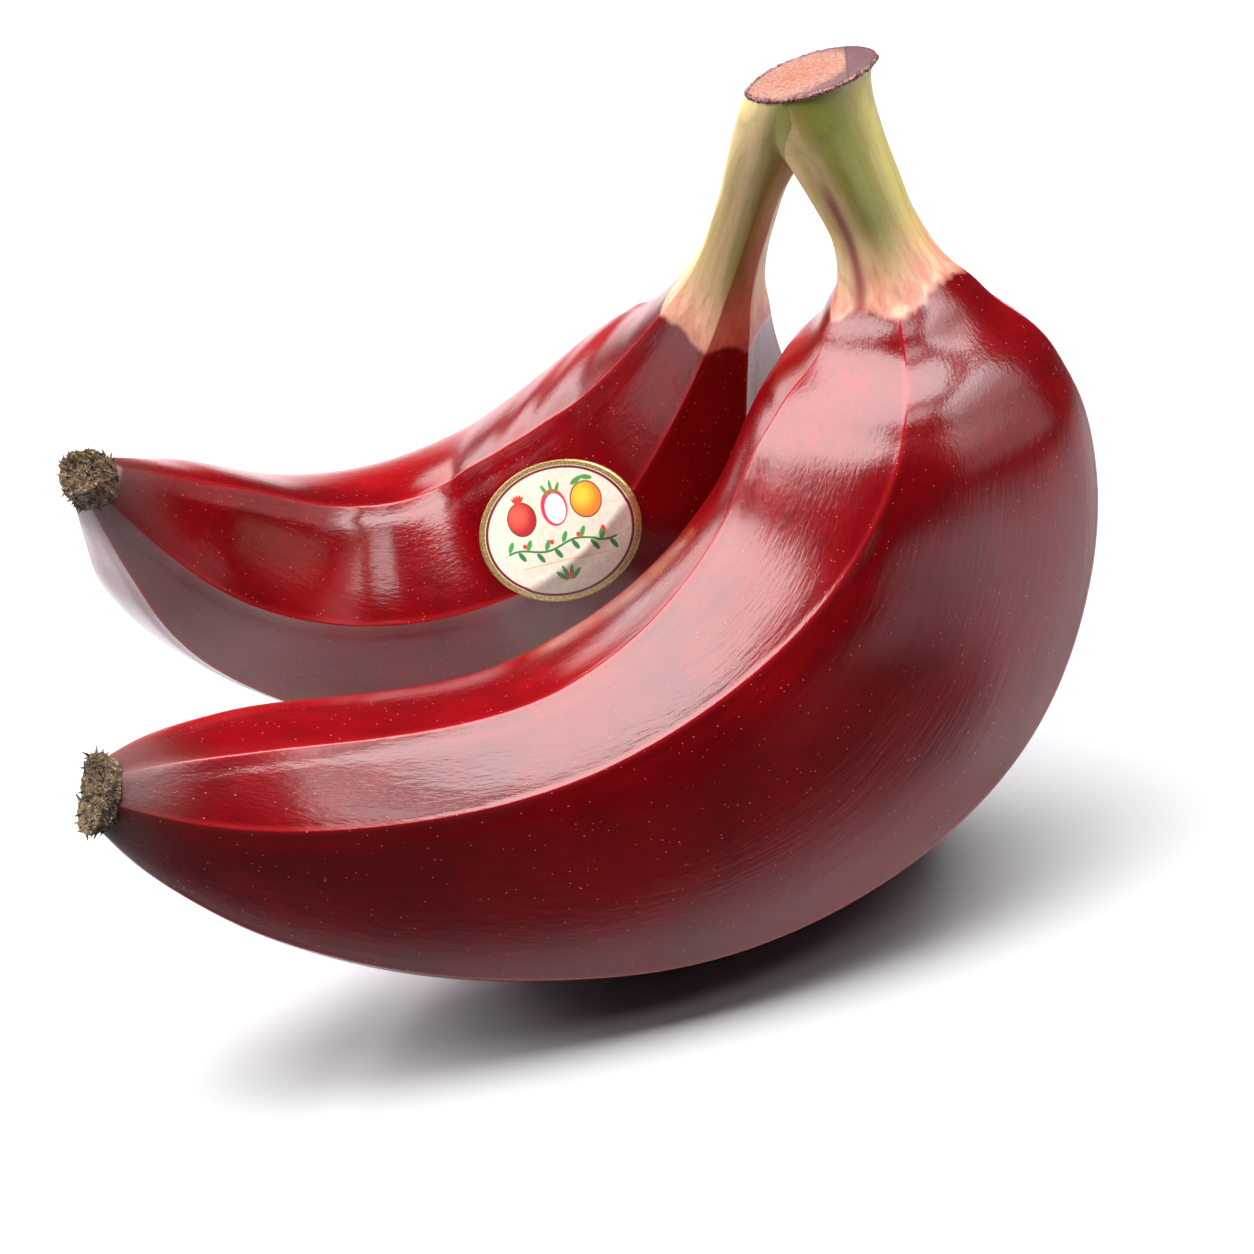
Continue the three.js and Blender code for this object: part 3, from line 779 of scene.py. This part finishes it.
grid = add(sticker, "GeometryNodeMeshGrid", 1.0, 1.0, 2 * bands + 2, spokes)
index = add(sticker, "GeometryNodeInputIndex")
band = math_node("FLOOR", (index + 0.5) / spokes)
turn = (index - band * spokes) * (2 * math.pi / (spokes - 1))
upper = math_node("LESS_THAN", band, bands + 0.5)
out_to = blend_to(upper, (band * -1 + 2 * bands + 1) / bands, band / bands)
x = math_node("COSINE", turn) * out_to
y = math_node("SINE", turn) * out_to
info = sticker.nodes.new("GeometryNodeObjectInfo")
sticker.links.new(size["Finger"].socket, info.inputs[0])


def vectors(operation, first, second):
    return add(sticker, "ShaderNodeVectorMath", first, second, operation=operation)


def far_along(way, distance):
    return times(way, vector(sticker, distance, distance, distance))


away, lengthwise = size["Pressed from"], size["Long way"]
hover = vectors("ADD", size["Middle"], far_along(away, 0.02))
hover = vectors("ADD", hover, far_along(lengthwise, x * size["Length"] * 0.5))
hover = vectors("ADD", hover, far_along(vectors("CROSS_PRODUCT", away, lengthwise),
                                        y * size["Width"] * 0.5))
press = sticker.nodes.new("GeometryNodeRaycast")
sticker.links.new(info.outputs["Geometry"], press.inputs["Target Geometry"])
sticker.links.new(hover.socket, press.inputs["Source Position"])
sticker.links.new(far_along(away, -1.0).socket, press.inputs["Ray Direction"])
press.inputs["Ray Length"].default_value = 0.05
proud = blend_to(upper, -0.00005, size["Proud"])
place = vectors("ADD", Value(sticker, press.outputs["Hit Position"]),
                far_along(Value(sticker, press.outputs["Hit Normal"]), proud))
moved = sticker.nodes.new("GeometryNodeSetPosition")
sticker.links.new(grid.socket, moved.inputs["Geometry"])
sticker.links.new(place.socket, moved.inputs["Position"])
print_place = vector(sticker, x * print_reach, y * print_rise, 0.0)
face = keep(Value(sticker, moved.outputs[0]), "print", print_place, "FLOAT_VECTOR")
closed = sticker.nodes.new("GeometryNodeMergeByDistance")
sticker.links.new(face.socket, closed.inputs["Geometry"])
closed.inputs["Distance"].default_value = 1e-6
real = add(sticker, "GeometryNodeRealizeInstances", Value(sticker, closed.outputs[0]))
real = add(sticker, "GeometryNodeSetShadeSmooth", real)
dressed = sticker.nodes.new("GeometryNodeSetMaterial")
sticker.links.new(real.socket, dressed.inputs["Geometry"])
sticker.links.new(size["Paper"].socket, dressed.inputs["Material"])
sticker.links.new(dressed.outputs[0], sticker.nodes.new("NodeGroupOutput").inputs[0])

paper = bpy.data.materials.new("printed paper")
paper.use_nodes = True
ink = paper.node_tree
spot = add(ink, "ShaderNodeAttribute", out="Vector", attribute_name="print")
x, y = part_of(spot, 0), part_of(spot, 1)
grain = noise(spot, 1.1, 3.0, 0.6)


def oval(cx, cy, rx, ry, lean=0.0):
    """Distance from the middle of an oval, where 1 is its edge."""
    dx, dy = x - cx, y - cy
    if lean:
        dx, dy = dx * math.cos(lean) + dy * math.sin(lean), dy * math.cos(lean) - dx * math.sin(lean)
    return ((dx / rx) ** 2.0 + (dy / ry) ** 2.0) ** 0.5


def inked(sheet, distance, colour, soft=0.06):
    return blended(ease(distance, 1.0, 1.0 - soft), sheet, colour)


rim = oval(0, 0, print_reach, print_rise)
sheet = blended(ease(grain, 0.3, 0.7), (0.50, 0.455, 0.37), (0.57, 0.53, 0.45))
for cx, cy, r, dark, light in ((-5.6, 2.7, 2.35, (0.30, 0.01, 0.015), (0.72, 0.08, 0.05)),
                               (5.5, 3.4, 2.5, (0.62, 0.15, 0.01), (0.93, 0.42, 0.03))):
    sheet = inked(sheet, oval(cx, cy, r + 0.18, r + 0.18), (0.12, 0.03, 0.01), 0.04)
    shade = blended(ease(oval(cx - 0.6, cy + 0.7, r * 1.2, r * 1.2), 1.0, 0.15), dark, light)
    sheet = inked(sheet, oval(cx, cy, r, r), shade)
for k in range(5):
    lean = (k - 2) * 0.42
    leaf = oval(-5.6 + math.sin(lean) * 0.7, 5.1 + math.cos(lean) * 0.5, 0.28, 0.8, -lean)
    sheet = inked(sheet, leaf, (0.45, 0.04, 0.02), 0.3)
sheet = inked(sheet, oval(0.1, 3.3, 2.25, 2.75), (0.55, 0.02, 0.06))
sheet = inked(sheet, oval(0.25, 3.1, 1.75, 2.2), (0.90, 0.88, 0.85))
seeds = ink.nodes.new("ShaderNodeTexVoronoi")
seeds.inputs["Scale"].default_value = 2.6
ink.links.new(spot.socket, seeds.inputs["Vector"])
seed_ink = ease(Value(ink, seeds.outputs["Distance"]), 0.2, 0.12) * ease(
    oval(0.25, 3.1, 1.55, 2.0), 1.0, 0.9)
sheet = blended(seed_ink * 0.85, sheet, (0.03, 0.02, 0.03))
for leaf in ((-0.9, 6.0, 0.3, 1.0, 0.5), (0.2, 6.3, 0.3, 1.1, 0.0), (1.2, 5.9, 0.3, 1.0, -0.6),
             (4.6, 6.3, 1.2, 0.42, 0.35), (6.3, 6.4, 1.1, 0.4, -0.3)):
    sheet = inked(sheet, oval(*leaf), (0.05, 0.22, 0.03), 0.2)

# the garland below the fruits
garland_down, garland_wave, garland_swing = 2.1, 0.62, 0.45
wave = y + garland_down - math_node("SINE", x * garland_wave) * garland_swing
stem_line = math_node("ABSOLUTE", wave) * ease(math_node("ABSOLUTE", x), 8.9, 9.3, 1.0, 9.0)
sheet = blended(ease(stem_line, 0.2, 0.12), sheet, (0.03, 0.15, 0.03))
for k in range(12):
    cx = -8.4 + k * 1.52
    off, lean, green = ((0.85, -0.6, (0.04, 0.24, 0.04)) if k % 2 == 0
                        else (-0.85, 0.6 + math.pi, (0.02, 0.14, 0.03)))
    cy = -garland_down + math.sin(cx * garland_wave) * garland_swing + off
    sheet = inked(sheet, oval(cx, cy, 0.42, 0.95, lean), green, 0.2)
for cx in (-6.1, -1.5, 3.0, 7.2):
    sheet = inked(sheet, oval(cx, -1.2 + 0.2 * math.sin(cx), 0.38, 0.38), (0.55, 0.02, 0.02), 0.2)
line = math_node("ABSOLUTE", y + 4.3) * ease(math_node("ABSOLUTE", x), 7.2, 7.4, 1.0, 9.0)
sheet = blended(ease(line, 0.12, 0.06) * 0.8, sheet, (0.45, 0.33, 0.10))
for lean in (-0.9, -0.3, 0.3, 0.9):
    leaf = oval(math.sin(lean) * 1.5, -6.9 + math.cos(lean), 0.38, 1.15, -lean)
    sheet = inked(sheet, leaf, (0.04, 0.22, 0.03), 0.2)
sheet = inked(sheet, oval(0, -6.4, 0.5, 0.5), (0.60, 0.03, 0.02), 0.2)

line = math_node("ABSOLUTE", rim - 0.9)
sheet = blended(ease(line, 0.022, 0.014), sheet, (0.13, 0.006, 0.01))
gold = blended(ease(noise(spot, 3.0, 2.0, 0.6), 0.35, 0.65), (0.26, 0.17, 0.05), (0.52, 0.38, 0.16))
on_rim = ease(rim, 0.922, 0.93)
sheet = blended(on_rim, sheet, gold)
print_shader = ink.nodes["Principled BSDF"]
ink.links.new(sheet.socket, print_shader.inputs["Base Color"])
ink.links.new(ease(on_rim, 0.0, 1.0, 0.42, 0.3).socket, print_shader.inputs["Roughness"])
ink.links.new((on_rim * 0.6).socket, print_shader.inputs["Metallic"])

shares, turns = (finger_rear.data.attributes[k].data for k in ("share", "around"))
label_middle = min(finger_rear.data.vertices, key=lambda v: abs(shares[v.index].value - label_share) * 360
                   + abs(turns[v.index].value - label_around)).co.copy()
label = grown("fruit_label", sticker, {
    "Finger": finger_rear, "Length": label_length, "Width": label_width, "Proud": 0.0003, "Paper": paper,
    "Middle": label_middle[:],
    "Pressed from": (0.07, -0.866, 0.495), "Long way": (0.992, 0.113, 0.057),
})
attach(label, "root")
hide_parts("label")


# ---- Floor, light and camera ---------------------------------------------
# A pale glossy table top that runs out into a white room, lit by large soft boxes. The camera alone
# sees the table top and the room that pale: to other surfaces the table is nearly black in front
# of the bunch and the room is dim, and the four boxes on the right light reflections only.

floor_mesh = bpy.data.meshes.new("table top")
floor_mesh.from_pydata([(-3, -3, 0), (3, -3, 0), (3, 3, 0), (-3, 3, 0)], [], [(0, 1, 2, 3)])
table_top = bpy.data.objects.new("table_top", floor_mesh)
bpy.context.collection.objects.link(table_top)
gloss = bpy.data.materials.new("glossy white table")
gloss.use_nodes = True
gloss_shader = gloss.node_tree.nodes["Principled BSDF"]
gloss_shader.inputs["Roughness"].default_value = 0.12
gloss_tree = gloss.node_tree
spot = add(gloss_tree, "ShaderNodeTexCoord", out="Object")
far = add(gloss_tree, "ShaderNodeVectorMath", spot, operation="LENGTH", out="Value")
seen = add(gloss_tree, "ShaderNodeLightPath", out="Is Camera Ray")
front = ease(part_of(spot, 1), -0.05, -0.1) * ease(part_of(spot, 0), 0.15, 0.11)
front_darkness = 0.93
pale = blended(math_node("MAXIMUM", seen, front * -front_darkness + 1), (0, 0, 0), (0.47, 0.47, 0.485))
gloss_tree.links.new(pale.socket, gloss_shader.inputs["Base Color"])
clear = gloss_tree.nodes.new("ShaderNodeBsdfTransparent")
fade = gloss_tree.nodes.new("ShaderNodeMixShader")
gloss_tree.links.new(ease(far, 0.2, 0.5).socket, fade.inputs[0])
gloss_tree.links.new(gloss_shader.outputs[0], fade.inputs[1])
gloss_tree.links.new(clear.outputs[0], fade.inputs[2])
gloss_tree.links.new(fade.outputs[0], gloss_tree.nodes["Material Output"].inputs[0])
floor_mesh.materials.append(gloss)

room = bpy.data.worlds.new("white room")
bpy.context.scene.world = room
room.use_nodes = True
room_tree = room.node_tree
seen = add(room_tree, "ShaderNodeLightPath", out="Is Camera Ray")
room_glow = 0.035
room_tree.links.new((seen * (1 - room_glow) + room_glow).socket, room_tree.nodes["Background"].inputs[1])
room_tree.nodes["Background"].inputs[0].default_value = (1, 1, 1, 1)


def soft_box(name, place, aim, width, height, brightness):
    light = bpy.data.lights.new(name, "AREA")
    light.shape = "RECTANGLE"
    light.size, light.size_y = width, height
    light.energy = brightness * math.pi * width * height
    lamp = bpy.data.objects.new(name, light)
    lamp.location = place
    lamp.rotation_euler = (Vector(aim) - Vector(place)).to_track_quat("-Z", "Y").to_euler()
    lamp.visible_camera = False
    bpy.context.collection.objects.link(lamp)
    return lamp


overhead = soft_box("overhead box", (-0.45, -0.09, 1.0), (-0.45, -0.09, 0), 2.5, 0.85, 10.5)
overhead.rotation_euler = (0, 0, math.radians(10))
soft_box("front box", (0.6, -0.64, 1.0), (0.6, -0.64, 0), 0.5, 0.3, 7)
soft_box("back left box", (-0.75, 0.85, 0.35), (0, 0, 0.05), 0.8, 0.5, 3)
for k, brightness in enumerate((1.0, 2.2, 5, 10)):
    place = Vector((0.95, -0.18, 0.13 + 0.22 * k))
    strip = soft_box(f"right box {k + 1}", place, place - Vector((1, 0, 0)), 0.75, 0.22, brightness)
    strip.visible_diffuse = False

bpy.context.scene.view_settings.view_transform = "Standard"

camera = bpy.data.cameras.new("camera")
camera.lens = 135
camera.sensor_width = 36
camera_stand = bpy.data.objects.new("camera", camera)
# it looks down by thirty degrees, and leans over with the rocked bunch
looking_down = Matrix.Rotation(math.radians(90 - 30), 4, "X")
camera_place = Matrix.Translation((0.0471867, -0.5349613, 0.3378671))
camera_stand.matrix_world = camera_place @ rocked @ looking_down
bpy.context.collection.objects.link(camera_stand)
bpy.context.scene.camera = camera_stand
